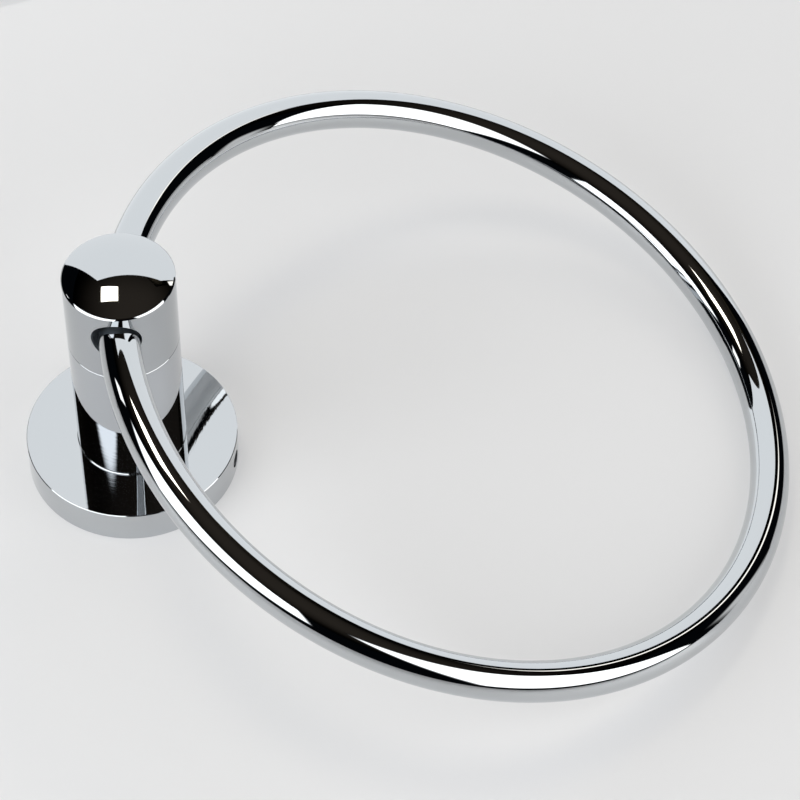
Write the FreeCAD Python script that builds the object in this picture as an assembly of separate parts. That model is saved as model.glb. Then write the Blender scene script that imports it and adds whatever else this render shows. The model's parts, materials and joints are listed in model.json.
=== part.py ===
import FreeCAD, Part
import math
import os

# Towel ring for wall mounting, in millimetres.
# The origin is the centre of the flange's back, on the wall plane z = 0.
# +Z is the post's axis, away from the wall. +X is straight down on the wall, to the side the ring leans to.
# The ring's hinge axis runs along Y.

# Post
POST_DIA = 25.0
SLEEVE_LENGTH = 35.6
SLEEVE_WALL = 3.0
FOOT_CHAMFER = 0.35
SEAM_CHAMFER = 0.2

# Head, measured from the seam to the rim of its crown
HEAD_LENGTH = 20.3
HEAD_EDGE = 0.4
CROWN_RADIUS = 26.0
BORE_RISE = 12.5
SPIGOT_LENGTH = 8.0
SPIGOT_LEAD = 0.5

# Ring: the rod is bent to a circle of this diameter, measured on the rod's centre line
RING_DIA = 157.0
ROD_DIA = 9.0
BORE_PLAY = 2.1
HANG_GAP = 0.25
WALL_GAP = 0.05

# Flange: a hollow cover over the wall bracket
FLANGE_DIA = 48.7
FLANGE_THICK = 8.8
FLANGE_EDGE = 0.25
FLANGE_BACK_EDGE = 0.2
RIM_WALL = 3.3
PLATE_THICK = 2.3
BOSS_HEIGHT = 2.0
FLANGE_TURN_DEG = -9.0

# Wall bracket: a cast dish whose edge is undercut for the grub screw
BRACKET_WEB = 2.5
BRACKET_WAIST = 1.7
BRACKET_RIM = 2.0
HUB_GAP = 0.5
WALL_SLOT_WIDTH = 4.5
SLOT_MARGIN = 1.0
BRACKET_SIDE_GAP = 0.4
BRACKET_TOP_GAP = 0.3

# Fasteners: nominal thread sizes
BOLT_DIA = 6.0
BOLT_ENGAGEMENT = 8.5
BOLT_HEAD_DIA = 10.5
BOLT_HEAD_HEIGHT = 3.3
BOLT_HEAD_SIDE = 0.9
BOLT_FACE_DIA = 7.6
BOLT_KEY = 4.0
BOLT_KEY_DEPTH = 2.1
BOLT_RUNOUT = 1.5
WASHER_DIA = 11.2
WASHER_THICK = 1.6
WASHER_SPLIT = 1.0
WASHER_SPLIT_DEG = 20.0
GRUB_DIA = 4.0
GRUB_LENGTH = 4.0
GRUB_HEIGHT = 4.0
GRUB_BITE = 0.9
GRUB_KEY = 2.0
GRUB_KEY_DEPTH = 2.0

# Clearances
FIT_GAP = 0.1
THREAD_GAP = 0.1
BOLT_HOLE_GAP = 0.3
SEAT_GAP = 0.1
# How far a cutting shape runs past the face that it opens
CUT_OVER = 1.0

# Worked out from the sizes above
POST_R = POST_DIA / 2
SLEEVE_BORE_R = POST_R - SLEEVE_WALL
SPIGOT_R = SLEEVE_BORE_R - FIT_GAP
FOOT_Z = FLANGE_THICK
SEAM_Z = FOOT_Z + SLEEVE_LENGTH
CROWN_Z = SEAM_Z + HEAD_LENGTH
BORE_Z = SEAM_Z + BORE_RISE

ROD_R = ROD_DIA / 2
BORE_R = ROD_R + BORE_PLAY / 2
RING_R = RING_DIA / 2
# The rod curves inside the bore by this much, so the ring sits a little across the hinge axis to turn freely
ROD_SAG = RING_R - math.sqrt(RING_R ** 2 - POST_R ** 2)
RING_SHIFT = BORE_PLAY / 2 - HANG_GAP - ROD_SAG
RING_REACH = RING_R + RING_SHIFT
TILT = math.asin((BORE_Z - ROD_R - WALL_GAP) / (RING_R + RING_REACH))

FLANGE_R = FLANGE_DIA / 2
CAVITY_R = FLANGE_R - RIM_WALL
CAVITY_Z = FLANGE_THICK - PLATE_THICK
BRACKET_R = CAVITY_R - BRACKET_SIDE_GAP
BRACKET_WAIST_R = BRACKET_R - BRACKET_WAIST
BRACKET_DISH_R = BRACKET_WAIST_R - BRACKET_RIM
BRACKET_HEIGHT = CAVITY_Z - BRACKET_TOP_GAP
HUB_HOLE_R = WASHER_DIA / 2 + HUB_GAP
SLOT_INNER = HUB_HOLE_R + SLOT_MARGIN
SLOT_OUTER = BRACKET_DISH_R - SLOT_MARGIN

BOLT_R = BOLT_DIA / 2
BOLT_SEAT_Z = CAVITY_Z - WASHER_THICK
BOLT_TIP_Z = SEAM_Z - SPIGOT_LENGTH + BOLT_ENGAGEMENT
GRUB_R = GRUB_DIA / 2
GRUB_TIP_R = BRACKET_R - GRUB_BITE

Z_AXIS = FreeCAD.Vector(0, 0, 1)
ORIGIN = FreeCAD.Vector(0, 0, 0)


def at(x, y, z):
    return FreeCAD.Vector(x, y, z)


def turned(profile):
    """Turns a closed outline of (radius, height) corners about the Z axis."""
    corners = [at(r, 0, z) for r, z in profile]
    outline = Part.makePolygon(corners + corners[:1])
    return Part.Face(outline).revolve(ORIGIN, Z_AXIS, 360)


def turned_dome(profile, dome_radius):
    """Turns an outline that runs from the Z axis to a rim, and closes it with a dome over that rim."""
    corners = [at(r, 0, z) for r, z in profile]
    rim_r, rim_z = profile[-1]
    centre_z = rim_z - math.sqrt(dome_radius ** 2 - rim_r ** 2)
    half_way = math.asin(rim_r / dome_radius) / 2
    middle = at(dome_radius * math.sin(half_way), 0, centre_z + dome_radius * math.cos(half_way))
    top = at(0, 0, centre_z + dome_radius)
    edges = [Part.makeLine(a, b) for a, b in zip(corners, corners[1:])]
    edges.append(Part.Arc(corners[-1], middle, top).toShape())
    edges.append(Part.makeLine(top, corners[0]))
    return Part.Face(Part.Wire(edges)).revolve(ORIGIN, Z_AXIS, 360)


def upright_cylinder(radius, z_low, z_high):
    return Part.makeCylinder(radius, z_high - z_low, at(0, 0, z_low))


def hexagon(across_flats, depth):
    """A hexagonal prism that stands on z = 0, for the key sockets."""
    corner_r = across_flats / math.sqrt(3)
    corners = []
    for step in range(6):
        angle = math.radians(60 * step)
        corners.append(at(corner_r * math.cos(angle), corner_r * math.sin(angle), 0))
    return Part.Face(Part.makePolygon(corners + corners[:1])).extrude(at(0, 0, depth))


def along_rim(shape):
    """Lays an upright shape along the grub screw's axis, so that its z = 0 end is on the post's axis."""
    laid = shape.copy()
    laid.rotate(ORIGIN, at(0, 1, 0), 90)
    laid.translate(at(0, 0, GRUB_HEIGHT))
    laid.rotate(ORIGIN, Z_AXIS, FLANGE_TURN_DEG)
    return laid


def wall_flange():
    """Turned cover: plate, rim, centring boss inside the sleeve, bolt hole and tapped grub hole."""
    body = turned([
        (CAVITY_R, 0),
        (FLANGE_R - FLANGE_BACK_EDGE, 0),
        (FLANGE_R, FLANGE_BACK_EDGE),
        (FLANGE_R, FLANGE_THICK - FLANGE_EDGE),
        (FLANGE_R - FLANGE_EDGE, FLANGE_THICK),
        (SPIGOT_R, FLANGE_THICK),
        (SPIGOT_R, FLANGE_THICK + BOSS_HEIGHT),
        (BOLT_R + BOLT_HOLE_GAP, FLANGE_THICK + BOSS_HEIGHT),
        (BOLT_R + BOLT_HOLE_GAP, CAVITY_Z),
        (CAVITY_R, CAVITY_Z),
    ])
    grub_hole = upright_cylinder(GRUB_R + THREAD_GAP, CAVITY_R - CUT_OVER, FLANGE_R + CUT_OVER)
    return body.cut(along_rim(grub_hole))


def flange_grub_screw():
    """Set screw with a cone point that bites under the bracket's lip and a key socket at its outer end."""
    point_z = GRUB_TIP_R + GRUB_R
    end_z = GRUB_TIP_R + GRUB_LENGTH
    screw = turned([(0, GRUB_TIP_R), (GRUB_R, point_z), (GRUB_R, end_z), (0, end_z)])
    socket = hexagon(GRUB_KEY, GRUB_KEY_DEPTH)
    socket.translate(at(0, 0, end_z - GRUB_KEY_DEPTH))
    return along_rim(screw.cut(socket))


def wall_bracket():
    """Cast dish: a web with two slots for wall screws, and a rim whose lip overhangs the grub screw."""
    lip_z = GRUB_HEIGHT + GRUB_BITE + SEAT_GAP
    body = turned([
        (HUB_HOLE_R, 0),
        (BRACKET_WAIST_R, 0),
        (BRACKET_WAIST_R, lip_z - BRACKET_WAIST),
        (BRACKET_R, lip_z),
        (BRACKET_R, BRACKET_HEIGHT),
        (BRACKET_DISH_R, BRACKET_HEIGHT),
        (BRACKET_DISH_R, BRACKET_WEB),
        (HUB_HOLE_R, BRACKET_WEB),
    ])
    end_r = WALL_SLOT_WIDTH / 2
    for side in (-1, 1):
        near = side * (SLOT_INNER + end_r)
        far = side * (SLOT_OUTER - end_r)
        slot = Part.makeBox(abs(far - near), WALL_SLOT_WIDTH, BRACKET_WEB, at(min(near, far), -end_r, 0))
        for x in (near, far):
            slot = slot.fuse(Part.makeCylinder(end_r, BRACKET_WEB, at(x, 0, 0)))
        body = body.cut(slot)
    return body


def post_sleeve():
    """Plain tube between the flange and the head."""
    return turned([
        (SLEEVE_BORE_R, FOOT_Z),
        (POST_R - FOOT_CHAMFER, FOOT_Z),
        (POST_R, FOOT_Z + FOOT_CHAMFER),
        (POST_R, SEAM_Z - SEAM_CHAMFER),
        (POST_R - SEAM_CHAMFER, SEAM_Z),
        (SLEEVE_BORE_R, SEAM_Z),
    ])


def ring_head():
    """Solid head: spigot into the sleeve, cross bore for the ring, chamfered rim and a domed crown."""
    body = turned_dome([
        (0, SEAM_Z - SPIGOT_LENGTH),
        (SPIGOT_R - SPIGOT_LEAD, SEAM_Z - SPIGOT_LENGTH),
        (SPIGOT_R, SEAM_Z - SPIGOT_LENGTH + SPIGOT_LEAD),
        (SPIGOT_R, SEAM_Z),
        (POST_R - SEAM_CHAMFER, SEAM_Z),
        (POST_R, SEAM_Z + SEAM_CHAMFER),
        (POST_R, CROWN_Z - HEAD_EDGE),
        (POST_R - HEAD_EDGE, CROWN_Z),
    ], CROWN_RADIUS)
    bore = Part.makeCylinder(BORE_R, POST_DIA + 2 * CUT_OVER, at(0, -POST_R - CUT_OVER, BORE_Z), at(0, 1, 0))
    tapped = upright_cylinder(BOLT_R + THREAD_GAP, SEAM_Z - SPIGOT_LENGTH, BOLT_TIP_Z + BOLT_RUNOUT)
    return body.cut(bore).cut(tapped)


def through_bolt():
    """Button-head bolt: its head hangs inside the flange and its tip screws into the head's spigot."""
    low_z = BOLT_SEAT_Z - BOLT_HEAD_HEIGHT
    bolt = turned([
        (0, low_z),
        (BOLT_FACE_DIA / 2, low_z),
        (BOLT_HEAD_DIA / 2, BOLT_SEAT_Z - BOLT_HEAD_SIDE),
        (BOLT_HEAD_DIA / 2, BOLT_SEAT_Z),
        (BOLT_R, BOLT_SEAT_Z),
        (BOLT_R, BOLT_TIP_Z),
        (0, BOLT_TIP_Z),
    ])
    socket = hexagon(BOLT_KEY, BOLT_KEY_DEPTH)
    socket.translate(at(0, 0, low_z))
    return bolt.cut(socket)


def spring_washer():
    """Split washer, pressed flat, with a slanted cut through one side."""
    outer_r = WASHER_DIA / 2
    inner_r = BOLT_R + THREAD_GAP
    hole = upright_cylinder(inner_r, BOLT_SEAT_Z, CAVITY_Z)
    ring = upright_cylinder(outer_r, BOLT_SEAT_Z, CAVITY_Z).cut(hole)
    cut_height = WASHER_THICK + 2 * CUT_OVER
    corner = at(0, -WASHER_SPLIT / 2, -cut_height / 2)
    cut = Part.makeBox(outer_r + CUT_OVER, WASHER_SPLIT, cut_height, corner)
    cut.rotate(ORIGIN, at(1, 0, 0), WASHER_SPLIT_DEG)
    cut.translate(at(0, 0, BOLT_SEAT_Z + WASHER_THICK / 2))
    return ring.cut(cut)


def towel_ring():
    """Closed ring of round rod, threaded through the bore and leaning until its far side meets the wall."""
    centre = at(RING_REACH * math.cos(TILT), 0, BORE_Z - RING_REACH * math.sin(TILT))
    ring_axis = at(math.sin(TILT), 0, math.cos(TILT))
    return Part.makeTorus(RING_R, ROD_R, centre, ring_axis)


PIECES = {
    "wall_flange": wall_flange,
    "flange_grub_screw": flange_grub_screw,
    "wall_bracket": wall_bracket,
    "post_sleeve": post_sleeve,
    "ring_head": ring_head,
    "through_bolt": through_bolt,
    "spring_washer": spring_washer,
    "towel_ring": towel_ring,
}

os.makedirs("parts", exist_ok=True)
for name, build in PIECES.items():
    solid = build()
    solid.exportStep("parts/" + name + ".step")
    print(name, "valid", solid.isValid(), "solids", len(solid.Solids), "volume", round(solid.Volume, 1))
print("hinge height", round(BORE_Z, 3), "tilt", round(math.degrees(TILT), 3))
print("ring reach", round(RING_REACH, 3), "bolt length", round(BOLT_TIP_Z - BOLT_SEAT_Z, 3))
print("slot from", round(SLOT_INNER, 3), "to", round(SLOT_OUTER, 3))
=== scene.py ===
"""Looks of a wall-mounted towel ring in polished chrome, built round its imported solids.

Every visible chrome piece is a smooth surface worked out from a formula, with its exact normals, because a
mirror finish shows each facet. Lengths are in metres, in the frame of the solids: +Z away from the wall, +X
straight down.
"""
import json
import logging
import math
from dataclasses import dataclass, field
from enum import Enum
from functools import cache

import bpy
import numpy as np
from mathutils import Matrix, Vector


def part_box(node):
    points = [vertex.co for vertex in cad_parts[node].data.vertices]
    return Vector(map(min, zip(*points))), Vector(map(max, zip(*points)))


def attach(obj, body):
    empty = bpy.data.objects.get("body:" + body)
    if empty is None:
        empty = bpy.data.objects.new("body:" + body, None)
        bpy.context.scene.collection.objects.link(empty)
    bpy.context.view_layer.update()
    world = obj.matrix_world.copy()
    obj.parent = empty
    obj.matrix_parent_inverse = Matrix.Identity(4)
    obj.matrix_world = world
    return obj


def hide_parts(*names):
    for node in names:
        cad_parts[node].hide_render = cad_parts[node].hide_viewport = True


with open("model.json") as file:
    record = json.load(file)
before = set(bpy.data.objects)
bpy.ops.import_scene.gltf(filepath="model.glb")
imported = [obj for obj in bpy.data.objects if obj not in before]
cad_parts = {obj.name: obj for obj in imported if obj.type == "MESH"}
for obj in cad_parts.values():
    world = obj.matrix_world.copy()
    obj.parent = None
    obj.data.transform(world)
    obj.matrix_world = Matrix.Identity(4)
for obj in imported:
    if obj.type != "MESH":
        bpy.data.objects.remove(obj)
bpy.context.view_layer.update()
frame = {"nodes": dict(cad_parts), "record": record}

LOG = logging.getLogger("towel_ring")
MM = 0.001
# Points closer than this are one point of a shell
MERGE = 1e-7
# Keeps an angle at a corner of a key socket on the side that starts there
NUDGE = 1e-9
# Power that crowds the rings of a wall towards the hole in it
CROWDING = 1.5
# Steps across and up each card
CARD_STEPS = 8
UP = np.array([0.0, 0.0, 1.0])
# Height of the ring's hinge
HINGE_Z = frame["record"]["behaviour"]["joints"][0]["pos_m"][2]
# The grub screw's axis: its height, and its angle about the Z axis
GRUB_Z = 4.0 * MM
GRUB_TURN = math.radians(-9.0)

Grids = tuple[np.ndarray, np.ndarray]
Pair = tuple[float, float]
Triple = tuple[float, float, float]
Colour = tuple[float, float, float, float]
Material = bpy.types.Material
Socket = bpy.types.NodeSocket
Inputs = dict[str | int, Socket | float | Colour]


class Body(Enum):
    """The two bodies that the pieces ride on."""

    POST = "post"
    RING = "ring"


class Slot(Enum):
    """Material slots of the record."""

    CHROME = "polished_chrome"
    DARK_STEEL = "dark_screw_steel"
    CAST = "cast_bracket"
    SCREW_STEEL = "screw_steel"


def placed(name: str, data: bpy.types.ID) -> bpy.types.Object:
    """Makes an object and links it to the scene.

    Args:
        name: Name of the object.
        data: Its mesh or camera.

    Returns:
        The object, at the origin.
    """
    thing = bpy.data.objects.new(name, data)
    bpy.context.scene.collection.objects.link(thing)
    return thing


@dataclass
class Shell:
    """A closed skin put together from patches that share their edges.

    Attributes:
        name: Name of the piece.
        patches: Points and outward unit normals of each surface, each rows by columns by 3.
    """

    name: str
    patches: list[Grids] = field(default_factory=list)

    def add(self, points: np.ndarray, normals: np.ndarray, about_z: float = 0.0) -> None:
        """Adds one surface, turned about the Z axis, with its columns in the order that faces it outward.

        Args:
            points: Grid of points, rows by columns by 3.
            normals: Outward normals on the same grid, of any length.
            about_z: Angle by which the surface is turned.
        """
        c = math.cos(about_z)
        s = math.sin(about_z)
        spin = np.array([[c, s, 0.0], [-s, c, 0.0], [0.0, 0.0, 1.0]])
        points = points @ spin
        normals = (normals / np.linalg.norm(normals, axis=-1, keepdims=True)) @ spin
        onward = points[1:, 1:] - points[:-1, :-1]
        aside = points[:-1, 1:] - points[1:, :-1]
        outward = (np.cross(onward, aside) * normals[:-1, :-1]).sum() >= 0
        order = slice(None, None, 1 if outward else -1)
        self.patches.append((points[:, order], normals[:, order]))

    def laid(self, turn_by: np.ndarray, lift: float) -> None:
        """Turns the whole skin by a 3 by 3 matrix that takes rows, then lifts it."""
        self.patches = [(points @ turn_by + lift * UP, normals @ turn_by)
                        for points, normals in self.patches]

    def quads(self) -> tuple[np.ndarray, np.ndarray, np.ndarray]:
        """Numbers the corners of every grid cell of every patch.

        Returns:
            All points, the point numbers of each quad, and the normal at each corner of each quad.
        """
        points = []
        corners = []
        normals = []
        start = 0
        for place, facing in self.patches:
            rows, columns = place.shape[:2]
            number = np.arange(rows * columns).reshape(rows, columns)
            cells = np.stack([number[:-1, :-1], number[1:, :-1], number[1:, 1:], number[:-1, 1:]], axis=-1)
            cells = cells.reshape(-1, 4)
            points.append(place.reshape(-1, 3))
            corners.append(start + cells)
            normals.append(facing.reshape(-1, 3)[cells])
            start += rows * columns
        return np.concatenate(points), np.concatenate(corners), np.concatenate(normals)

    def build(self) -> bpy.types.Object:
        """Welds the patches along their edges and makes the mesh, with the exact normals at each corner.

        Returns:
            The piece, at the origin, with its place in its mesh.
        """
        points, corners, normals = self.quads()
        keys = np.round(points / MERGE).astype(np.int64)
        _, first, place = np.unique(keys, axis=0, return_index=True, return_inverse=True)
        vertices = points[first]
        faces = place.reshape(-1)[corners]
        # A corner that repeats the one before it belongs to a quad that has closed to a triangle at a pole
        kept = faces != np.roll(faces, 1, axis=1)
        whole = kept.sum(axis=1) >= 3
        kept = kept & whole[:, None]
        loops = faces[kept]
        counts = kept.sum(axis=1)[whole]
        mesh = bpy.data.meshes.new(self.name)
        mesh.vertices.add(len(vertices))
        mesh.vertices.foreach_set("co", vertices.astype(np.float32).ravel())
        mesh.loops.add(len(loops))
        mesh.loops.foreach_set("vertex_index", loops.astype(np.int32))
        mesh.polygons.add(len(counts))
        starts = np.concatenate([[0], np.cumsum(counts)[:-1]])
        mesh.polygons.foreach_set("loop_start", starts.astype(np.int32))
        mesh.update(calc_edges=True)
        mesh.validate()
        mesh.polygons.foreach_set("use_smooth", np.ones(len(counts), dtype=bool))
        mesh.normals_split_custom_set(normals[kept])
        LOG.info("%s: %d faces", self.name, len(counts))
        return placed(self.name, mesh)


def around(count: int, start: float = -math.pi) -> np.ndarray:
    """Angles of a full turn in so many equal steps, with the last one back on the first."""
    return start + np.linspace(0.0, 2.0 * math.pi, count + 1)


def spokes(angles: np.ndarray) -> np.ndarray:
    """Level unit vectors (cos a, sin a, 0) at angles about the Z axis."""
    return np.stack([np.cos(angles), np.sin(angles), np.zeros_like(angles)], axis=-1)


def turn(profile: np.ndarray, tilt: np.ndarray, angles: np.ndarray) -> Grids:
    """Carries a profile round the Z axis: a point (r, z) goes to (r cos a, r sin a, z).

    Args:
        profile: Radius and height of each of its points.
        tilt: Outward and upward part of the normal at each point.
        angles: Angles of the meridians.

    Returns:
        The grid of points and of normals.
    """
    ring = spokes(angles)
    points, normals = (part[:, :1, None] * ring + part[:, 1:, None] * UP for part in (profile, tilt))
    return points, normals


@dataclass
class Outline:
    """A lathe outline of straight lines whose corners are rounded, run so that its outside is on the left.

    Attributes:
        corners: Radius and height of each corner.
        rounds: Radius of the round at each corner.
        steps: Points along each round.
    """

    corners: list[Pair]
    rounds: list[float]
    steps: int = 7

    def traced(self) -> Grids:
        """Follows the outline, with an arc tangent to both lines at each rounded corner.

        The arc of radius q at a corner that turns by t starts q tan(t/2) before the corner. Its normal turns
        evenly from one line's normal to the next line's.

        Returns:
            The points and their outward normals.
        """
        places = []
        facings = []
        corners = np.array(self.corners)
        lines = np.diff(corners, axis=0)
        lines = lines / np.linalg.norm(lines, axis=1, keepdims=True)
        befores = np.concatenate([lines[:1], lines])
        afters = np.concatenate([lines, lines[-1:]])
        for here, before, after, radius in zip(corners, befores, afters, self.rounds):
            out_before = np.array([-before[1], before[0]])
            out_after = np.array([-after[1], after[0]])
            bend = math.atan2(before[0] * after[1] - before[1] * after[0], float(before @ after))
            if radius == 0 or abs(bend) < MERGE:
                places += [here, here]
                facings += [out_before, out_after]
                continue
            side = -math.copysign(1.0, bend)
            centre = here - radius * math.tan(abs(bend) / 2) * before - side * radius * out_before
            swing = np.linspace(0.0, bend, self.steps)[:, None]
            arc = np.cos(swing) * out_before - np.sin(swing) * before
            places += list(centre + side * radius * arc)
            facings += list(arc)
        return np.array(places), np.array(facings)

    def add_to(self, shell: Shell, angles: np.ndarray) -> None:
        """Adds the surface that the outline sweeps about the Z axis, split at the corners that stay sharp.

        Args:
            shell: Skin that takes the surface.
            angles: Angles of the meridians.
        """
        places, facings = self.traced()
        same_place = np.linalg.norm(np.diff(places, axis=0), axis=1) < MERGE
        turned_face = np.linalg.norm(np.diff(facings, axis=0), axis=1) > MERGE
        cuts = np.flatnonzero(same_place & turned_face) + 1
        for run, tilt in zip(np.split(places, cuts), np.split(facings, cuts)):
            if len(run) > 1:
                shell.add(*turn(run, tilt, angles))


@dataclass(frozen=True)
class HoledWall:
    """A stretch of upright cylinder wall with a round hole in its middle, on the -Y side.

    It is laid out in rings from the hole's edge to its border. A ring's point lies on the same heading from
    the hole's middle as its border point does on the unrolled wall.

    Attributes:
        wall_r: Radius of the wall.
        span: Half of the stretch's width, as an angle about the wall's axis.
        low: Height of the lower border.
        high: Height of the upper border.
        hole_z: Height of the hole's middle.
        hole_r: Radius of the hole.
        level: Steps along each level side.
        upright: Steps along each upright side.
        rings: Number of rings.
    """

    wall_r: float
    span: float
    low: float
    high: float
    hole_z: float
    hole_r: float
    level: int
    upright: int
    rings: int

    def border(self, low: float, high: float) -> Grids:
        """Walks the border of the stretch once round.

        Args:
            low: Height of the lower border.
            high: Height of the upper border.

        Returns:
            The angle and the height of each border point.
        """
        across = np.linspace(-self.span, self.span, self.level + 1)
        rise = np.linspace(low, high, self.upright + 1)
        right = np.full(self.upright, self.span)
        turn_by = np.concatenate([across, right, across[::-1][1:], -right])
        climb = np.concatenate([np.full(self.level, low), rise, np.full(self.level, high), rise[::-1][1:]])
        return turn_by, climb

    def headings(self) -> np.ndarray:
        """Heading of each border point from the hole's middle, on the unrolled wall."""
        turn_by, climb = self.border(self.low, self.high)
        return np.arctan2(climb - self.hole_z, self.wall_r * turn_by)

    def wall(self, wall_r: float, low: float, high: float) -> Grids:
        """The stretch on a wall of some radius and height, with the same headings at the hole.

        At the hole a point's angle is the arcsine of the hole's radius times its heading's cosine over the
        wall's radius. From there the rings go straight to the border, on the unrolled wall.

        Args:
            wall_r: Radius of the wall.
            low: Height of the lower border.
            high: Height of the upper border.

        Returns:
            The grid of points and of normals away from the wall's axis.
        """
        heading = self.headings()
        turn_by, climb = self.border(low, high)
        hole_turn = np.arcsin(self.hole_r * np.cos(heading) / wall_r)
        hole_climb = self.hole_z + self.hole_r * np.sin(heading)
        share = np.linspace(0.0, 1.0, self.rings)[:, None] ** CROWDING
        angle = hole_turn * (1 - share) + turn_by * share
        facing = np.stack([np.sin(angle), -np.cos(angle), np.zeros_like(angle)], axis=-1)
        points = wall_r * facing
        points[..., 2] = hole_climb * (1 - share) + climb * share
        return points, facing

    def bore(self, far_r: float, far_side: float, steps: int) -> Grids:
        """The hole's inside: straight lines from the wall's hole to the hole in another wall.

        On a wall, y squared is the wall's radius squared less x squared.

        Args:
            far_r: Radius of the other wall.
            far_side: -1 when the other wall is on the -Y side too, 1 when it is on the +Y side.
            steps: Steps along the hole.

        Returns:
            The grid of points and of normals towards the hole's axis.
        """
        heading = self.headings()
        out = np.stack([np.cos(heading), np.zeros_like(heading), np.sin(heading)], axis=-1)
        edge = self.hole_r * out + self.hole_z * UP
        near = -np.sqrt(self.wall_r ** 2 - edge[:, 0] ** 2)
        far = far_side * np.sqrt(far_r ** 2 - edge[:, 0] ** 2)
        share = np.linspace(0.0, 1.0, steps + 1)[:, None]
        points = np.tile(edge, (steps + 1, 1, 1))
        points[..., 1] = near * (1 - share) + far * share
        return points, np.broadcast_to(-out, points.shape)


def flat_ring(inner: np.ndarray, outer: np.ndarray, height: float, up: float, angles: np.ndarray) -> Grids:
    """A level face, facing up or down, between two outlines at distances from the Z axis at each angle."""
    points = np.stack([inner, outer])[..., None] * spokes(angles) + height * UP
    return points, np.broadcast_to(up * UP, points.shape)


@dataclass(frozen=True)
class KeySocket:
    """A hexagonal socket in the end of a screw, with the shallow cone that its drill left.

    Its first corner is at angle 0.

    Attributes:
        flats: Width across the flats.
        depth: Depth of the flats.
        mouth_z: Height of its mouth.
        sign: 1 when it opens upward, -1 when it opens downward.
        drill: Radius of the drill, as a share of the width across the flats.
        cone: Radius of the drill's cone over its depth.
    """

    flats: float
    depth: float
    mouth_z: float
    sign: float
    drill: float = 0.42
    cone: float = 3.0

    def reach(self, angles: np.ndarray) -> np.ndarray:
        """Distance from the axis to a side: half the flats over the cosine of the angle from its middle."""
        return self.flats / 2 / np.cos(np.mod(angles + NUDGE, math.pi / 3) - math.pi / 6)

    def add_to(self, shell: Shell, angles: np.ndarray, face_r: float) -> None:
        """Adds the six sides, the floor, the drill's cone and the screw's flat face round the mouth.

        Args:
            shell: Skin that takes them.
            angles: Angles of the meridians, in a multiple of six steps from a corner.
            face_r: Radius of that face.
        """
        floor_z = self.mouth_z - self.sign * self.depth
        side = (len(angles) - 1) // 6
        reach = self.reach(angles)
        across = reach[:, None] * spokes(angles)
        for number in range(6):
            run = slice(number * side, (number + 1) * side + 1)
            points = np.stack([across[run] + self.mouth_z * UP, across[run] + floor_z * UP])
            middle = angles[0] + math.pi / 6 + number * math.pi / 3
            shell.add(points, np.broadcast_to(-spokes(middle), points.shape))
        drill_r = self.drill * self.flats
        shell.add(*flat_ring(np.full_like(angles, drill_r), reach, floor_z, self.sign, angles))
        cone = np.array([[drill_r, floor_z], [0.0, floor_z - self.sign * drill_r / self.cone]])
        shell.add(*turn(cone, np.array([[-1.0, self.cone * self.sign]] * 2), angles))
        shell.add(*flat_ring(reach, np.full_like(angles, face_r), self.mouth_z, self.sign, angles))


@dataclass(frozen=True)
class Thread:
    """A screw thread: its radius follows a wave that climbs one pitch in a turn.

    Attributes:
        crest_r: Radius at its crests.
        root_r: Radius at its roots.
        pitch: Climb of the thread in a turn.
        blunt: How far the wave is pushed towards its ends, so that crests and roots are blunt.
        climb: Steps up the wall to a pitch.
    """

    crest_r: float
    root_r: float
    pitch: float
    blunt: float = 1.6
    climb: int = 14

    def heights(self, low: float, high: float) -> np.ndarray:
        """Heights of the rows from one end of the thread to the other."""
        return np.linspace(low, high, round((high - low) / self.pitch * self.climb) + 1)

    def wall(self, heights: np.ndarray, ends: np.ndarray, angles: np.ndarray) -> Grids:
        """The threaded wall, which stays inside the cones at its ends.

        At angle a and height z the wave is the sine of 2 pi (z / pitch - a / 2 pi), blunted by a hyperbolic
        tangent. The normal comes from the slopes of the radius up the wall and round it.

        Args:
            heights: Heights of the rows.
            ends: Greatest radius at each height.
            angles: Angles of the meridians.

        Returns:
            The grid of points and of normals.
        """
        phase = 2 * math.pi * (heights[:, None] / self.pitch - angles / (2 * math.pi))
        wave = np.tanh(self.blunt * np.sin(phase)) / math.tanh(self.blunt)
        radius = (self.root_r + self.crest_r) / 2 + (self.crest_r - self.root_r) / 2 * wave
        radius = np.minimum(radius, ends[:, None])
        radius[0] = ends[0]
        radius[-1] = ends[-1]
        up_slope = np.gradient(radius, heights, axis=0)
        round_slope = np.gradient(radius[:, :-1], angles[1] - angles[0], axis=1)
        round_slope = np.concatenate([round_slope, round_slope[:, :1]], axis=1)
        outward = spokes(angles)
        onward = np.cross(UP, outward)
        normals = outward - (round_slope / radius)[..., None] * onward - up_slope[..., None] * UP
        return radius[..., None] * outward + heights[:, None, None] * UP, normals


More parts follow.
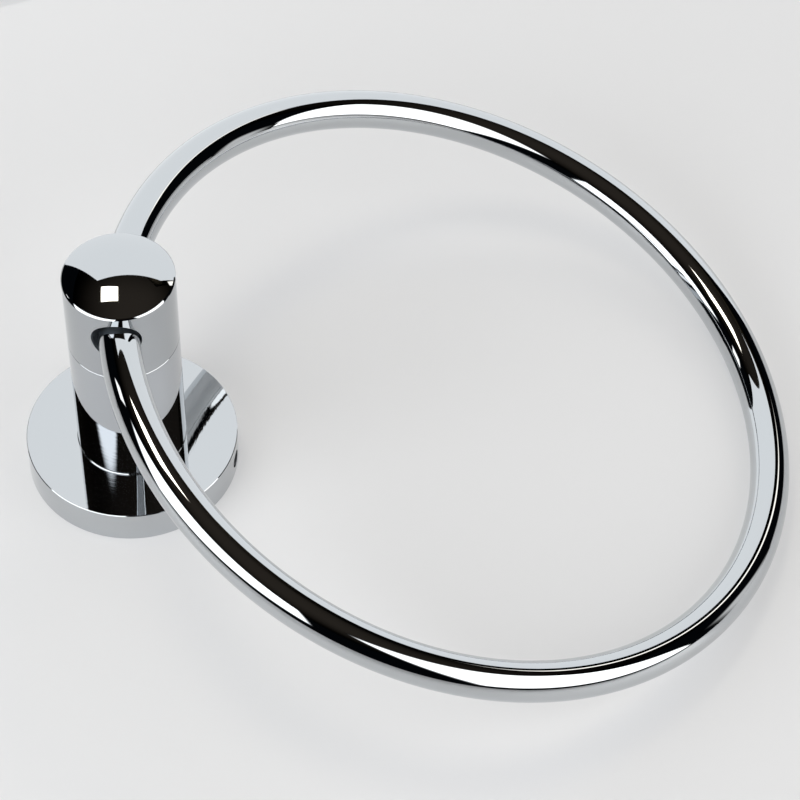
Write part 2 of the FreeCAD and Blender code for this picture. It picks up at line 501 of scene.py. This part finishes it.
class NodeKit:
    """The nodes of a material or a world under construction."""

    def __init__(self, owner: Material | bpy.types.World) -> None:
        """Starts on the nodes.

        Args:
            owner: The material or world.
        """
        owner.use_nodes = True
        self.owner = owner
        self.nodes = owner.node_tree.nodes
        self.links = owner.node_tree.links

    def fill(self, node: bpy.types.Node, inputs: Inputs) -> None:
        """Gives a node what its inputs take.

        Args:
            node: The node.
            inputs: The socket that each input is linked to, or the input's own value.
        """
        for name, value in inputs.items():
            if isinstance(value, Socket):
                self.links.new(value, node.inputs[name])
            else:
                node.inputs[name].default_value = value

    def add(self, kind: str, inputs: Inputs, **settings: str) -> bpy.types.Node:
        """Adds a node.

        Args:
            kind: Its type, after the word ShaderNode.
            inputs: What its inputs take.
            settings: Its own settings.

        Returns:
            The node.
        """
        node = self.nodes.new("ShaderNode" + kind)
        for name, value in settings.items():
            setattr(node, name, value)
        self.fill(node, inputs)
        return node

    def place(self, kind: str) -> Socket:
        """Coordinates of a kind: Object, Normal or UV."""
        return self.add("TexCoord", {}).outputs[kind]

    def noise(self, where: Socket, scale: float, detail: float, size: str = "3D") -> Socket:
        """Cloudy noise from 0 to 1, with so many clouds to the metre and so many octaves, in 3D or 1D."""
        inputs = {"W" if size == "1D" else "Vector": where, "Scale": scale, "Detail": detail}
        return self.add("TexNoise", inputs, noise_dimensions=size).outputs["Fac"]

    def mixed(self, share: Socket, first: Socket | Colour, second: Colour) -> Socket:
        """Mixes two colours.

        Args:
            share: The second colour's share.
            first: The first colour.
            second: The second colour.

        Returns:
            The socket with the mixed colour.
        """
        mix = self.add("Mix", {}, data_type="RGBA")
        self.fill(mix, {"Factor": share, "A": first, "B": second})
        return mix.outputs["Result"]

    def spread(self, share: Socket, span: Pair) -> Socket:
        """A value that runs over a span as the share goes from 0 to 1."""
        return self.add("MapRange", {"Value": share, "To Min": span[0], "To Max": span[1]}).outputs["Result"]

    def bump(self, height: Socket, inputs: Inputs) -> Socket:
        """A normal that tells of bumps, given their heights from 0 to 1 and the node's other inputs."""
        return self.add("Bump", {"Height": height, **inputs}).outputs["Normal"]

    def math(self, operation: str, first: Socket, second: Socket | float = 0.0) -> Socket:
        """The result of an operation on two values."""
        return self.add("Math", {0: first, 1: second}, operation=operation).outputs["Value"]

    def axis_distance(self, where: Socket) -> tuple[Socket, Socket]:
        """Distance from the Z axis, the root of x squared plus y squared, and the height.

        Args:
            where: Coordinates.

        Returns:
            The sockets with the distance and the height.
        """
        x, y, z = self.add("SeparateXYZ", {"Vector": where}).outputs
        squared = self.math("ADD", self.math("MULTIPLY", x, x), self.math("MULTIPLY", y, y))
        return self.math("SQRT", squared), z

    def drilled(self, where: Socket, reach: float, top: float) -> Socket:
        """1 within a distance of the Z axis and below a height, else 0.

        Args:
            where: Coordinates.
            reach: The distance.
            top: The height.

        Returns:
            The socket with the share.
        """
        distance, height = self.axis_distance(where)
        near = self.math("LESS_THAN", distance, reach)
        return self.math("MULTIPLY", near, self.math("LESS_THAN", height, top))

    def upright(self, lean: float) -> Socket:
        """1 where the height of the unit normal, up or down, is less than the lean, else 0."""
        height = self.add("SeparateXYZ", {"Vector": self.place("Normal")}).outputs["Z"]
        return self.math("LESS_THAN", self.math("ABSOLUTE", height), lean)

    def metal(self, colour: Socket, roughness: Socket, normal: Socket) -> None:
        """Makes the material a metal of a colour, roughness and normal."""
        looks = {"Base Color": colour, "Roughness": roughness, "Normal": normal, "Metallic": 1.0}
        self.fill(self.nodes["Principled BSDF"], looks)


@dataclass(frozen=True)
class Chrome:
    """Polished chrome plate over a turned blank: a cool mirror with a faint haze and polishing waves.

    Each noise is given by its clouds to the metre and its octaves.

    Attributes:
        name: Name of the material.
        slot: Its slot in the record; not used.
        cool: Colour of the plate.
        warm: Colour where the plate is a touch thinner.
        tint_noise: Noise of that colour.
        haze: Least and greatest roughness.
        haze_noise: Noise of the haze.
        waviness: Height of the polishing waves.
        wave_noise: Noise of the waves.
        tooling: Height of the rings that the lathe left, if any.
        tool_noise: Noise of the rings, which depends only on the distance from the Z axis.
        drilled: Distance from the axis and height within which the metal is only drilled, and duller.
        drill_haze: Roughness that is added there.
        drill_colour: Colour of the metal there.
        painted_wall_shade: Colour of upright walls, painted shade that makes them mirror darker than the
            ends.
        wall_lean: Height of the unit normal at which a wall stops being upright.
    """

    name: str
    slot: Slot = Slot.CHROME
    cool: Colour = (0.554, 0.575, 0.593, 1.0)
    warm: Colour = (0.552, 0.568, 0.582, 1.0)
    tint_noise: Pair = (45.0, 3.0)
    haze: Pair = (0.015, 0.035)
    haze_noise: Pair = (420.0, 5.0)
    waviness: float = 0.002 * MM
    wave_noise: Pair = (160.0, 2.0)
    tooling: float = 0.0
    tool_noise: Pair = (1500.0, 2.0)
    drilled: Pair = (0.0, 0.0)
    drill_haze: float = 0.40
    drill_colour: Colour = (0.72, 0.77, 0.82, 1.0)
    painted_wall_shade: Colour | None = None
    wall_lean: float = 0.3

    @cache
    def material(self) -> Material:
        """Makes the node material, once.

        Returns:
            The material.
        """
        kit = NodeKit(bpy.data.materials.new(self.name))
        where = kit.place("Object")
        colour = kit.mixed(kit.noise(where, *self.tint_noise), self.cool, self.warm)
        roughness = kit.spread(kit.noise(where, *self.haze_noise), self.haze)
        normal = kit.bump(kit.noise(where, *self.wave_noise), {"Distance": self.waviness})
        if self.tooling > 0.0:
            rings = kit.noise(kit.axis_distance(where)[0], *self.tool_noise, "1D")
            normal = kit.bump(rings, {"Distance": self.tooling, "Normal": normal})
        # Upright walls take a darker colour here: painted shade for the darker reflection on them
        if self.painted_wall_shade is not None:
            colour = kit.mixed(kit.upright(self.wall_lean), colour, self.painted_wall_shade)
        if self.drilled[0] > 0.0:
            share = kit.drilled(where, *self.drilled)
            roughness = kit.math("ADD", kit.math("MULTIPLY", share, self.drill_haze), roughness)
            colour = kit.mixed(share, colour, self.drill_colour)
        kit.metal(colour, roughness, normal)
        return kit.owner


@dataclass(frozen=True)
class Steel:
    """Plain fastener steel or bare casting, mottled as a batch of plated screws or a die's skin is.

    Attributes:
        name: Name of the material.
        slot: Its slot in the record; not used.
        light: Colour of the light patches.
        dark: Colour of the dark patches.
        sheen: Least and greatest roughness.
        grain: Height of the surface grain.
        fineness: Grains to the metre.
        patch: Width of a patch in grains.
        octaves: Octaves of the patches and of the grain.
    """

    name: str
    slot: Slot
    light: Colour
    dark: Colour
    sheen: Pair
    grain: float
    fineness: float
    patch: float = 4.0
    octaves: Pair = (4.0, 6.0)

    @cache
    def material(self) -> Material:
        """Makes the node material, once.

        Returns:
            The material.
        """
        kit = NodeKit(bpy.data.materials.new(self.name))
        where = kit.place("Object")
        mottle = kit.noise(where, self.fineness / self.patch, self.octaves[0])
        grain = kit.noise(where, self.fineness, self.octaves[1])
        colour = kit.mixed(mottle, self.light, self.dark)
        kit.metal(colour, kit.spread(mottle, self.sheen), kit.bump(grain, {"Distance": self.grain}))
        return kit.owner


def dress(piece: bpy.types.Object, material: Material) -> None:
    """Gives a piece or a solid its one finish."""
    piece.data.materials.clear()
    piece.data.materials.append(material)


def stand_in(shell: Shell, node: str, body: Body, finish: Chrome | Steel) -> None:
    """Builds a skin, dresses it, and puts it in place of a solid.

    Args:
        shell: The skin.
        node: The solid that it stands for.
        body: The body that it rides on.
        finish: Its finish.
    """
    piece = shell.build()
    dress(piece, finish.material())
    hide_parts(node)
    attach(piece, body.value)


CHROME = Chrome("chrome")
FACED = Chrome("chrome_faced", tooling=0.0014 * MM)
# The upright walls of the head and of the sleeve take darker colours: painted shade for their darker
# reflections
DRILLED = Chrome("chrome_drilled", drilled=(12.4 * MM, 63.5 * MM), painted_wall_shade=(0.454, 0.472, 0.490, 1.0))
SLEEVED = Chrome("chrome_sleeved", painted_wall_shade=(0.504, 0.524, 0.550, 1.0))
BLACK = Steel("blackened_steel", Slot.DARK_STEEL, light=(0.34, 0.34, 0.35, 1.0),
              dark=(0.22, 0.22, 0.23, 1.0), sheen=(0.22, 0.36), grain=0.004 * MM, fineness=4000.0)
ZINC = Steel("zinc_steel", Slot.SCREW_STEEL, light=(0.66, 0.66, 0.65, 1.0),
             dark=(0.55, 0.56, 0.57, 1.0), sheen=(0.20, 0.34), grain=0.003 * MM, fineness=3000.0)
CAST = Steel("cast_skin", Slot.CAST, light=(0.52, 0.53, 0.54, 1.0),
             dark=(0.40, 0.41, 0.42, 1.0), sheen=(0.42, 0.58), grain=0.02 * MM, fineness=1800.0)


@dataclass
class TowelRing:
    """The closed ring of round rod.

    Attributes:
        rod_r: Radius of the rod.
        ring_r: Radius of the ring along the middle of the rod.
        reach: Distance of the ring's centre from the hinge.
        gap: Gap between the rod and the wall plane at the ring's far side.
        steps: Steps round the ring and round the rod.
    """

    rod_r: float = 4.5 * MM
    ring_r: float = 78.5 * MM
    reach: float = 78.298 * MM
    gap: float = 0.05 * MM
    steps: tuple[int, int] = (720, 96)

    def make(self) -> None:
        """Builds the ring: a circle of the rod's radius carried round the ring's circle, leaning about Y.

        The sine of the lean is the hinge's height less the rod and the gap, over the reach and the ring's
        radius.
        """
        lean = math.asin((HINGE_Z - self.rod_r - self.gap) / (self.reach + self.ring_r))
        down = np.array([math.cos(lean), 0.0, -math.sin(lean)])
        side = np.array([0.0, 1.0, 0.0])
        centre = HINGE_Z * UP + self.reach * down
        round_ring = around(self.steps[0])[:, None, None]
        round_rod = around(self.steps[1])[None, :, None]
        spoke = np.cos(round_ring) * down + np.sin(round_ring) * side
        normals = np.cos(round_rod) * spoke + np.sin(round_rod) * np.cross(down, side)
        shell = Shell("ring_rod")
        shell.add(centre + self.ring_r * spoke + self.rod_r * normals, normals)
        stand_in(shell, "towel_ring", Body.RING, CHROME)


@dataclass
class Post:
    """The post's two lengths: the plain sleeve, and the head with its cross bore and domed crown.

    Attributes:
        bore_r: Radius of the cross bore.
        crown_r: Radius of the crown's dome.
        head_edge: Chamfer at the crown's rim.
        rim_bulge: Angle by which that chamfer's normal turns to each side of 45 degrees.
        rim_points: Points across that chamfer.
        seam_edge: Chamfer on each side of the seam.
        foot_edge: Chamfer at the sleeve's foot.
        foot_round: Round of that chamfer's corners.
        sleeve_bore_r: Radius inside the sleeve.
        spigot_r: Radius of the head's spigot.
        spigot_lead: Chamfer at the spigot's end.
        tap_r: Radius of the tapped hole.
        tap_top: Height of the tapped hole's end above the seam.
        tap_cone: Depth of the cone that its drill left, as a share of its radius.
        softening: Round that polishing leaves on each chamfer's corners.
        meridians: Steps round the post.
        upright: Steps up the head's wall.
        rings: Rings round the cross bore, and rings of the crown.
    """

    bore_r: float = 5.55 * MM
    crown_r: float = 26.0 * MM
    head_edge: float = 0.4 * MM
    rim_bulge: float = math.radians(11.0)
    rim_points: int = 5
    seam_edge: float = 0.1 * MM
    foot_edge: float = 0.35 * MM
    foot_round: float = 0.45 * MM
    sleeve_bore_r: float = 9.5 * MM
    spigot_r: float = 9.4 * MM
    spigot_lead: float = 0.5 * MM
    tap_r: float = 3.1 * MM
    tap_top: float = 2.0 * MM
    tap_cone: float = 0.6
    softening: float = 0.06 * MM
    meridians: int = 192
    upright: int = 28
    rings: int = 24

    def __post_init__(self) -> None:
        """Reads the post's radius and heights off the solids."""
        sleeve_low, sleeve_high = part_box("post_sleeve")
        head_low, head_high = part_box("ring_head")
        self.post_r = sleeve_high[0]
        self.foot_z = sleeve_low[2]
        self.seam_z = sleeve_high[2]
        self.spigot_z = head_low[2]
        self.rim_r = self.post_r - self.head_edge
        self.top_z = head_high[2]
        self.rim_z = self.top_z - self.crown_r + math.sqrt(self.crown_r ** 2 - self.rim_r ** 2)
        self.round = around(self.meridians)

    def make_sleeve(self) -> None:
        """Builds the sleeve, a turned tube with a fine chamfer at each end."""
        soft = self.softening
        outline = Outline([
            (self.sleeve_bore_r, self.foot_z),
            (self.sleeve_bore_r, self.seam_z),
            (self.post_r - self.seam_edge, self.seam_z),
            (self.post_r, self.seam_z - self.seam_edge),
            (self.post_r, self.foot_z + self.foot_edge),
            (self.post_r - self.foot_edge, self.foot_z),
            (self.sleeve_bore_r, self.foot_z),
        ], [0.0, 0.0, soft, soft, self.foot_round, self.foot_round, 0.0])
        shell = Shell("sleeve_tube")
        outline.add_to(shell, self.round)
        stand_in(shell, "post_sleeve", Body.POST, SLEEVED)

    def arc(self, start: Pair, radius: float, leans: np.ndarray) -> Grids:
        """Sweeps about Z an arc that moves by the radius times the change of its leaning normal."""
        facing = np.stack([np.sin(leans), np.cos(leans)], axis=-1)
        return turn(np.array(start) + radius * (facing - facing[0]), facing, self.round)

    def make_head(self) -> None:
        """Builds the head: two holed half walls, the bore between them, the chamfers, crown and spigot."""
        low = self.seam_z + self.seam_edge
        high = self.rim_z - self.head_edge
        holed = HoledWall(self.post_r, math.pi / 2, low, high, HINGE_Z, self.bore_r, self.meridians // 2,
                          self.upright, self.rings)
        shell = Shell("head_crowned")
        for side in (0.0, math.pi):
            shell.add(*holed.wall(self.post_r, low, high), side)
        shell.add(*holed.bore(self.post_r, 1.0, self.rings))
        # The crown is a cap of a sphere, from the axis to the rim
        crown = np.linspace(0.0, math.asin(self.rim_r / self.crown_r), self.rings + 1)
        shell.add(*self.arc((0.0, self.top_z), self.crown_r, crown))
        # Polishing rounds the rim's chamfer: the arc's radius is half the chord over the sine of the bulge
        rim = math.pi / 4 + np.linspace(-self.rim_bulge, self.rim_bulge, self.rim_points)
        rim_arc = self.head_edge / math.sqrt(2) / math.sin(self.rim_bulge)
        shell.add(*self.arc((self.rim_r, self.rim_z), rim_arc, rim))
        tap_z = self.seam_z + self.tap_top
        below = Outline([
            (self.post_r, low),
            (self.post_r - self.seam_edge, self.seam_z),
            (self.spigot_r, self.seam_z),
            (self.spigot_r, self.spigot_z + self.spigot_lead),
            (self.spigot_r - self.spigot_lead, self.spigot_z),
            (self.tap_r, self.spigot_z),
            (self.tap_r, tap_z),
            (0.0, tap_z + self.tap_cone * self.tap_r),
        ], [0.0] * 8)
        below.add_to(shell, self.round)
        stand_in(shell, "ring_head", Body.POST, DRILLED)


@dataclass
class Flange:
    """The hollow cover on the wall, with the tapped hole in its rim.

    Attributes:
        edge: Chamfer round the face.
        back_edge: Chamfer round the back.
        rim_wall: Thickness of the rim.
        plate: Thickness of the plate.
        boss_r: Radius of the centring boss.
        bolt_hole_r: Radius of the bolt's hole.
        grub_r: Radius of the tapped hole in the rim.
        softening: Round that polishing leaves on each chamfer's corners.
        bead: The fine bead round the post's foot: how far it goes under the post, its height, and how far it
            stands out.
        meridians: Steps round the flange.
        level: Steps along the stretch of wall round the grub screw's hole.
        upright: Steps up that stretch.
        rings: Rings round that hole.
        deep: Steps along that hole.
    """

    edge: float = 0.14 * MM
    back_edge: float = 0.2 * MM
    rim_wall: float = 3.3 * MM
    plate: float = 2.3 * MM
    boss_r: float = 9.4 * MM
    bolt_hole_r: float = 3.3 * MM
    grub_r: float = 2.1 * MM
    softening: float = 0.05 * MM
    bead: Triple = (0.08 * MM, 0.24 * MM, 0.12 * MM)
    meridians: int = 384
    level: int = 24
    upright: int = 12
    rings: int = 10
    deep: int = 4

    def __post_init__(self) -> None:
        """Reads the flange's radius and heights off the solids."""
        self.flange_r, _, self.boss_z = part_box("wall_flange")[1]
        self.face_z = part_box("post_sleeve")[0][2]
        self.post_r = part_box("post_sleeve")[1][0]
        self.rim_z = self.face_z - self.edge
        self.cavity_r = self.flange_r - self.rim_wall
        self.cavity_z = self.face_z - self.plate

    def add_walls(self, shell: Shell) -> None:
        """Adds the rim's outer and inner wall, each with its hole, and the hole's inside between them.

        Args:
            shell: Skin that takes them.
        """
        span = math.pi * self.level / self.meridians
        holed = HoledWall(self.flange_r, span, self.back_edge, self.rim_z, GRUB_Z, self.grub_r, self.level,
                          self.upright, self.rings)
        quarter = GRUB_TURN + math.pi / 2
        rest = np.linspace(GRUB_TURN + span, GRUB_TURN - span + 2 * math.pi, self.meridians - self.level + 1)
        outer = (self.flange_r, self.back_edge, self.rim_z, 1.0)
        inner = (self.cavity_r, 0.0, self.cavity_z, -1.0)
        for wall_r, bottom, top, side in (outer, inner):
            points, normals = holed.wall(wall_r, bottom, top)
            shell.add(points, side * normals, quarter)
            climb = np.linspace(bottom, top, self.upright + 1)
            profile = np.column_stack([np.full_like(climb, wall_r), climb])
            shell.add(*turn(profile, np.tile([side, 0.0], (len(climb), 1)), rest))
        shell.add(*holed.bore(self.cavity_r, -1.0, self.deep), quarter)

    def make(self) -> None:
        """Builds the cover."""
        soft = self.softening
        under, rise, out = self.bead
        upper = Outline([
            (self.cavity_r, self.cavity_z),
            (self.bolt_hole_r, self.cavity_z),
            (self.bolt_hole_r, self.boss_z),
            (self.boss_r, self.boss_z),
            (self.boss_r, self.face_z),
            (self.post_r - under, self.face_z),
            (self.post_r - under, self.face_z + rise),
            (self.post_r + out, self.face_z),
            (self.flange_r - self.edge, self.face_z),
            (self.flange_r, self.rim_z),
        ], [0.0, 0.0, 0.0, 0.0, 0.0, 0.0, soft, soft, soft, 0.0])
        back = Outline([
            (self.flange_r, self.back_edge),
            (self.flange_r - self.back_edge, 0.0),
            (self.cavity_r, 0.0),
        ], [0.0] * 3)
        shell = Shell("flange_cover")
        self.add_walls(shell)
        for outline in (upper, back):
            outline.add_to(shell, around(self.meridians, GRUB_TURN))
        stand_in(shell, "wall_flange", Body.POST, FACED)


@dataclass
class Fasteners:
    """The through bolt and the grub screw, with their threads and key sockets.

    Attributes:
        bolt: The bolt's thread.
        bolt_thread: Length of that thread.
        bolt_lead: Chamfer at the bolt's tip.
        head_r: Radius of the bolt's head.
        head_side: Height of the straight side of its head.
        head_rounds: Rounds on its shank, under its head, below and above its side, and at its face.
        face_r: Radius of the head's flat face.
        bolt_key: Width and depth of the bolt's socket.
        grub: The grub screw's thread.
        grub_length: Its length.
        grub_tip: Distance of its point from the post's axis.
        grub_end: Chamfer at its socket's end.
        grub_key: Width and depth of its socket.
        meridians: Steps round each.
    """

    bolt: Thread = Thread(3.0 * MM, 2.5 * MM, 1.0 * MM)
    bolt_thread: float = 24.0 * MM
    bolt_lead: float = 0.6 * MM
    head_r: float = 5.25 * MM
    head_side: float = 0.9 * MM
    head_rounds: tuple[float, ...] = (0.0, 0.2 * MM, 0.1 * MM, 0.5 * MM, 0.0)
    face_r: float = 3.8 * MM
    bolt_key: Pair = (4.0 * MM, 2.1 * MM)
    grub: Thread = Thread(2.0 * MM, 1.62 * MM, 0.7 * MM)
    grub_length: float = 4.0 * MM
    grub_tip: float = 19.75 * MM
    grub_end: float = 0.3 * MM
    grub_key: Pair = (2.0 * MM, 2.0 * MM)
    meridians: int = 72

    def make_bolt(self) -> None:
        """Builds the bolt, head down, from its socket to its tip."""
        angles = around(self.meridians, 0.0)
        low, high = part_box("through_bolt")
        seat_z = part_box("spring_washer")[0][2]
        thread_z = high[2] - self.bolt_thread
        shell = Shell("bolt_threaded")
        KeySocket(*self.bolt_key, low[2], -1.0).add_to(shell, angles, self.face_r)
        head = Outline([
            (self.bolt.crest_r, thread_z),
            (self.bolt.crest_r, seat_z),
            (self.head_r, seat_z),
            (self.head_r, seat_z - self.head_side),
            (self.face_r, low[2]),
        ], list(self.head_rounds))
        head.add_to(shell, angles)
        heights = self.bolt.heights(thread_z, high[2])
        ends = np.minimum(self.bolt.crest_r, self.bolt.crest_r - self.bolt_lead + (high[2] - heights))
        shell.add(*self.bolt.wall(heights, ends, angles))
        tip = np.array([[ends[-1], high[2]], [0.0, high[2]]])
        shell.add(*turn(tip, np.array([[0.0, 1.0]] * 2), angles))
        stand_in(shell, "through_bolt", Body.POST, ZINC)

    def make_grub(self) -> None:
        """Builds the grub screw upright, from its point to its socket, and lays it along the rim's hole."""
        angles = around(self.meridians, 0.0)
        end = self.grub_tip + self.grub_length
        start = self.grub_tip + self.grub.root_r
        shell = Shell("grub_screw")
        point = np.array([[0.0, self.grub_tip], [self.grub.root_r, start]])
        shell.add(*turn(point, np.array([[1.0, -1.0]] * 2), angles))
        heights = self.grub.heights(start, end)
        ends = np.minimum(self.grub.crest_r, self.grub.root_r + (heights - start))
        ends = np.minimum(ends, self.grub.crest_r - self.grub_end + (end - heights))
        shell.add(*self.grub.wall(heights, ends, angles))
        KeySocket(*self.grub_key, end, 1.0).add_to(shell, angles, ends[-1])
        c = math.cos(GRUB_TURN)
        s = math.sin(GRUB_TURN)
        # Up becomes outward along the hole, and outward along X becomes down
        shell.laid(np.array([[0.0, 0.0, -1.0], [-s, c, 0.0], [c, s, 0.0]]), GRUB_Z)
        stand_in(shell, "flange_grub_screw", Body.POST, BLACK)


@dataclass(frozen=True)
class Card:
    """A light or screen of the studio, whose edges may fade.

    Attributes:
        name: Name of the card.
        corners: Its corners in order, in millimetres.
        colour: Colour of its light.
        mirrored: Strength at which metal mirrors it.
        cast: Strength of the light that it casts.
        fades: Share of the card over which each edge fades, from the edge between the first two corners on.
    """

    name: str
    corners: tuple[Triple, ...]
    colour: Colour
    mirrored: float
    cast: float
    fades: tuple[float, ...] = (0.0, 0.0, 0.0, 0.0)

    def mesh(self) -> bpy.types.Mesh:
        """Spreads a grid evenly between the four corners, with the shares across and up as its UV.

        Returns:
            The mesh.
        """
        share = np.linspace(0.0, 1.0, CARD_STEPS + 1)
        across, up = np.meshgrid(share, share)
        weights = [(1 - across) * (1 - up), across * (1 - up), across * up, (1 - across) * up]
        points = np.stack(weights, axis=-1).reshape(-1, 4) @ (MM * np.array(self.corners))
        shares = np.stack([across, up], axis=-1).reshape(-1, 2)
        number = np.arange(across.size).reshape(across.shape)
        cells = np.stack([number[:-1, :-1], number[:-1, 1:], number[1:, 1:], number[1:, :-1]], axis=-1)
        cells = cells.reshape(-1, 4)
        mesh = bpy.data.meshes.new(self.name)
        mesh.from_pydata(points.tolist(), [], cells.tolist())
        layer = mesh.uv_layers.new(name="share")
        layer.uv.foreach_set("vector", shares[cells.ravel()].astype(np.float32).ravel())
        return mesh

    def material(self) -> Material:
        """Makes the glow: one strength in a mirror, another on things, fading towards the edges.

        Returns:
            The material.
        """
        kit = NodeKit(bpy.data.materials.new(self.name))
        kit.nodes.remove(kit.nodes["Principled BSDF"])
        ray = kit.add("LightPath", {}).outputs["Is Glossy Ray"]
        level = kit.add("Mix", {"Factor": ray, "A": self.cast, "B": self.mirrored}).outputs["Result"]
        parts = kit.add("SeparateXYZ", {"Vector": kit.place("UV")}).outputs
        edges = (("Y", 0.0, 1.0), ("X", 1.0, -1.0), ("Y", 1.0, -1.0), ("X", 0.0, 1.0))
        for fade, (axis, edge, inward) in zip(self.fades, edges):
            if fade > 0.0:
                inputs = {"Value": parts[axis], "From Min": edge, "From Max": edge + inward * fade}
                ramp = kit.add("MapRange", inputs, interpolation_type="SMOOTHSTEP")
                level = kit.math("MULTIPLY", level, ramp.outputs["Result"])
        glow = kit.add("Emission", {"Color": self.colour, "Strength": level}).outputs["Emission"]
        kit.fill(kit.nodes["Material Output"], {"Surface": glow})
        return kit.owner

    def make(self) -> None:
        """Makes the card, which the camera doesn't see and which casts no shadow."""
        card = placed(self.name, self.mesh())
        dress(card, self.material())
        card.visible_camera = False
        card.visible_shadow = False


WHITE = (1.0, 0.995, 0.985, 1.0)
COOL = (0.975, 1.0, 1.018, 1.0)
WARM = (1.0, 0.95, 0.87, 1.0)
LAMP = (1.0, 0.92, 0.78, 1.0)
AMBER = (1.0, 0.82, 0.56, 1.0)
BROWN = (1.0, 0.83, 0.67, 1.0)
WIDE = (0.45, 0.45, 0.45, 0.45)
CARDS = (
    Card("screen_back", ((-205, 229, 545), (348, 342, 542), (372, 291, 0), (-106, 123, 0)), COOL,
         1.16, 0.95),
    Card("strip_far", ((1940, 1832, 2270), (2150, 1603, 2270), (2150, 1603, 1400), (1940, 1832, 1400)), WARM,
         2.2, 0.0, (0.1, 0.3, 0.1, 0.3)),
    Card("glow_far", ((730, 1441, 2200), (1290, 1019, 2200), (1290, 1019, 1500), (730, 1441, 1500)), AMBER,
         0.03, 5.0, WIDE),
    Card("window_far", ((-1079, 311, 967), (-1108, 167, 967), (-1108, 167, 564), (-1079, 311, 564)), WHITE,
         2.0, 0.0, (0.1, 0.1, 0.1, 0.1)),
    Card("soft_right", ((118, -224, 308), (989, 104, 910), (796, -112, 25), (176, -267, 60)), WHITE,
         2.6, 1.8, (0.10, 0.08, 0.04, 0.03)),
    Card("soft_left", ((-368, 12, 352), (-30, -545, 548), (-20, -285, 100), (-450, -165, 58)), COOL,
         2.6, 4.0, (0.06, 0.03, 0.05, 0.05)),
    Card("pale_right", ((560, 94, 177), (431, -20, 115), (423, -41, 5), (432, 93, 5)), WHITE,
         0.8, 0.3, (0.4, 0.4, 0.0, 0.3)),
    Card("lamp_over", ((-400, 382, 1232), (-60, 350, 1232), (-38, 14, 1232), (-385, 10, 1232)), LAMP,
         6.0, 6.0, (0.06, 0.06, 0.06, 0.06)),
    Card("low_left", ((-520, 60, 30), (-300, 330, 30), (-300, 330, 0), (-520, 60, 0)), WHITE,
         0.7, 0.0, (0.3, 0.1, 0.0, 0.1)),
    Card("low_right", ((380, 345, 26), (520, 90, 26), (520, 90, 0), (380, 345, 0)), WHITE,
         0.6, 0.0, (0.3, 0.1, 0.0, 0.1)),
    Card("ceiling", ((-2300, -3000, 2400), (3300, -3000, 2400), (3300, 2600, 2400), (-2300, 2600, 2400)),
         BROWN, 0.032, 0.030, WIDE),
)


@dataclass(frozen=True)
class Studio:
    """The pale table, the lights and the camera.

    Attributes:
        table_half: Half of the table's width.
        table_colour: Colour of the table.
        table_roughness: Roughness of the table.
        table_gloss: How strongly the table mirrors, against 0.5 for a plain glossy surface.
        glow: Strength of the light that fills the table's shadows.
        glow_colour: Colour of that light.
        room: Colour of the dark room that the object mirrors.
        backdrop: Colour that the camera sees beyond the table.
        eye: Place of the camera.
        axes: The camera's right, up and back directions.
        lens: Focal length in millimetres.
        sensor: Width of the sensor in millimetres.
        nearest: Nearest distance that the camera sees.
    """

    table_half: float = 2.2
    table_colour: Colour = (0.50, 0.50, 0.505, 1.0)
    table_roughness: float = 0.36
    table_gloss: float = 0.2
    glow: float = 0.328
    glow_colour: Colour = (0.985, 0.99, 1.0, 1.0)
    room: Colour = (0.0016, 0.0022, 0.0032, 1.0)
    backdrop: Colour = (0.75, 0.75, 0.76, 1.0)
    eye: Triple = (0.060856, -0.431155, 0.582003)
    axes: tuple[Triple, ...] = (
        (0.999789, 0.015457, 0.013517),
        (-0.020494, 0.791926, 0.610273),
        (-0.001271, -0.610421, 0.792076),
    )
    lens: float = 139.56
    sensor: float = 36.0
    nearest: float = 0.01

    def make_table(self) -> None:
        """Makes the table: a pale, faintly glossy sheet, part lit by the lamps, part glowing by itself."""
        half = self.table_half
        corners = [(-half, -half, 0), (half, -half, 0), (half, half, 0), (-half, half, 0)]
        mesh = bpy.data.meshes.new("table")
        mesh.from_pydata(corners, [], [(0, 1, 2, 3)])
        table = placed("table", mesh)
        kit = NodeKit(bpy.data.materials.new("table"))
        looks = {"Base Color": self.table_colour, "Roughness": self.table_roughness,
                 "Specular IOR Level": self.table_gloss, "Emission Color": self.glow_colour,
                 "Emission Strength": self.glow}
        kit.fill(kit.nodes["Principled BSDF"], looks)
        dress(table, kit.owner)

    def make_room(self) -> None:
        """Makes the room: pale to the camera, dark to everything else."""
        kit = NodeKit(bpy.data.worlds.new("room"))
        seen = kit.add("LightPath", {}).outputs["Is Camera Ray"]
        kit.fill(kit.nodes["Background"], {"Color": kit.mixed(seen, self.room, self.backdrop)})
        bpy.context.scene.world = kit.owner

    def make_camera(self) -> None:
        """Puts the camera where the photograph was taken from."""
        data = bpy.data.cameras.new("camera")
        data.sensor_width = self.sensor
        data.lens = self.lens
        data.clip_start = self.nearest
        camera = placed("camera", data)
        camera.matrix_world = Matrix.Translation(Vector(self.eye)) @ Matrix(self.axes).transposed().to_4x4()
        bpy.context.scene.camera = camera

    def make(self) -> None:
        """Builds the whole studio."""
        self.make_table()
        self.make_room()
        self.make_camera()
        for card in CARDS:
            card.make()
        bpy.context.scene.view_settings.view_transform = "Standard"


def dress_solids() -> None:
    """Gives the solids that stay in view their finishes."""
    for node, finish in (("spring_washer", ZINC), ("wall_bracket", CAST)):
        dress(frame["nodes"][node], finish.material())
        LOG.info("%s: kept as it is", node)


def main() -> None:
    """Builds the dressed object and its studio."""
    logging.basicConfig(level=logging.INFO, format="%(name)s: %(message)s")
    TowelRing().make()
    post = Post()
    post.make_sleeve()
    post.make_head()
    Flange().make()
    fasteners = Fasteners()
    fasteners.make_bolt()
    fasteners.make_grub()
    dress_solids()
    Studio().make()


if __name__ == "__main__":
    main()
